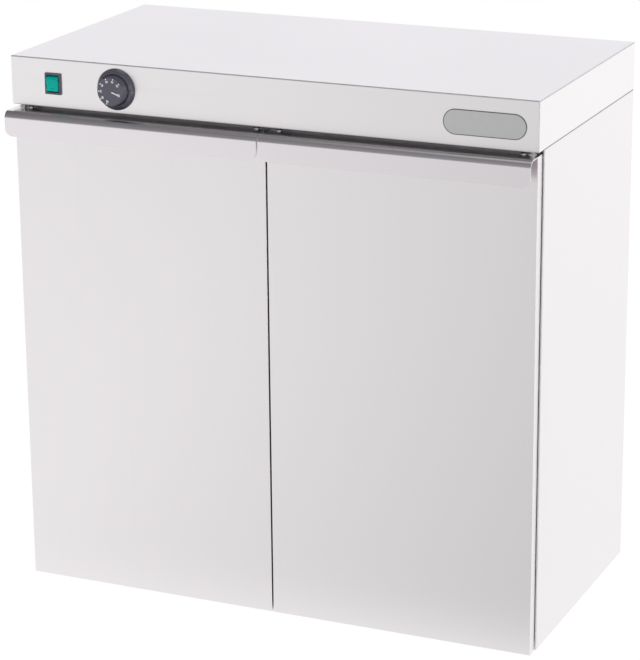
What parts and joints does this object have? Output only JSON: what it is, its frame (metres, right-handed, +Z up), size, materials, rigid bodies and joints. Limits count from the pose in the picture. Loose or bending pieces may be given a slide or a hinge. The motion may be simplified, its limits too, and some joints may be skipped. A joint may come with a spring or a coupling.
{
  "type": "plate warmer cabinet",
  "caption": "Low stainless steel warming cabinet for plates: twin hinged doors with folded lip handles under a flat worktop cap with a dial, a rocker switch and a bare oval badge.",
  "frame": {"origin": "centre of the overall footprint on the floor, under the feet", "axes": "+X to the right seen from the front, +Y to the back, +Z up"},
  "size_m": [0.75, 0.434, 0.763],
  "materials": {
    "cabinet_steel": "satin",
    "worktop_steel": "satin",
    "inner_steel": "satin",
    "plated_steel": "satin",
    "bright_screws": "polished",
    "shelf_wire": "polished",
    "mineral_wool": "matte",
    "heater_sheath": "matte",
    "silicone_lead": "matte",
    "copper_tube": "satin",
    "brass_blade": "satin",
    "control_black": "satin",
    "case_black": "matte",
    "rocker_green": "gloss",
    "badge_metal": "satin",
    "bush_plastic": "matte",
    "magnet_ferrite": "matte",
    "foot_rubber": "matte",
    "terminal_white": "satin"
  },
  "bodies": {
    "cabinet": {"top_cap": "worktop_steel", "control_floor": "plated_steel", "back_panel": "cabinet_steel", "base_tray": "plated_steel", "top_rail": "inner_steel", "bottom_rail": "inner_steel", "back_liner": "inner_steel", "top_liner": "inner_steel", "back_insulation": "mineral_wool", "top_insulation": "mineral_wool", "heater_deck": "inner_steel", "heater_element": "heater_sheath", "heater_brackets": "plated_steel", "heater_leads": "silicone_lead", "capillary_sensor": "copper_tube", "high_limit_thermostat": "terminal_white", "thermostat_body": "case_black", "knob_bezel": "control_black", "switch_housing": "control_black", "switch_terminals": "brass_blade", "badge_plate": "badge_metal", "terminal_block": "terminal_white", "control_leads": "silicone_lead", "cable_gland": "case_black", "upper_hinge_pins": "bright_screws", "lower_hinge_brackets": "plated_steel", "catch_magnets": "magnet_ferrite", "shelf_uprights": "inner_steel", "shelf_clips": "inner_steel", "rubber_feet": "foot_rubber", "foot_fasteners": "plated_steel", "back_panel_screws": "bright_screws", "body_screws": "plated_steel", "left_side_panel": "cabinet_steel", "right_side_panel": "cabinet_steel", "left_liner": "inner_steel", "right_liner": "inner_steel", "left_insulation": "mineral_wool", "right_insulation": "mineral_wool"},
    "left_door": {"left_door_skin": "cabinet_steel", "left_door_inner_pan": "inner_steel", "left_door_insulation": "mineral_wool", "left_door_handle": "cabinet_steel", "left_door_handle_screws": "bright_screws", "left_door_bushes": "bush_plastic", "left_door_strike_plate": "plated_steel"},
    "right_door": {"right_door_skin": "cabinet_steel", "right_door_inner_pan": "inner_steel", "right_door_insulation": "mineral_wool", "right_door_handle": "cabinet_steel", "right_door_handle_screws": "bright_screws", "right_door_bushes": "bush_plastic", "right_door_strike_plate": "plated_steel"},
    "knob": {"control_knob": "control_black", "thermostat_shaft": "plated_steel"},
    "rocker": {"switch_rocker": "rocker_green"},
    "lower_shelf": {"lower_shelf": "shelf_wire"},
    "upper_shelf": {"upper_shelf": "shelf_wire"}
  },
  "joints": [
    {"name": "left_door_hinge", "type": "hinge", "parent": "cabinet", "child": "left_door", "pos_m": [-0.363, -0.1815, 0.35], "axis": [0, 0, -1], "range_deg": [0, 90]},
    {"name": "right_door_hinge", "type": "hinge", "parent": "cabinet", "child": "right_door", "pos_m": [0.363, -0.1815, 0.35], "axis": [0, 0, 1], "range_deg": [0, 90]},
    {"name": "knob_turn", "type": "hinge", "parent": "cabinet", "child": "knob", "pos_m": [-0.216, -0.2084, 0.7293], "axis": [0, 1, 0], "range_deg": [-117.5, 161.5]},
    {"name": "rocker_tilt", "type": "hinge", "parent": "cabinet", "child": "rocker", "pos_m": [-0.3106, -0.186, 0.7293], "axis": [-1, 0, 0], "range_deg": [0, 14]},
    {"name": "lower_shelf_lift", "type": "slide", "parent": "cabinet", "child": "lower_shelf", "axis": [0, 0, 1], "range_m": [0, 0.012]},
    {"name": "upper_shelf_lift", "type": "slide", "parent": "cabinet", "child": "upper_shelf", "axis": [0, 0, 1], "range_m": [0, 0.012]}
  ]
}
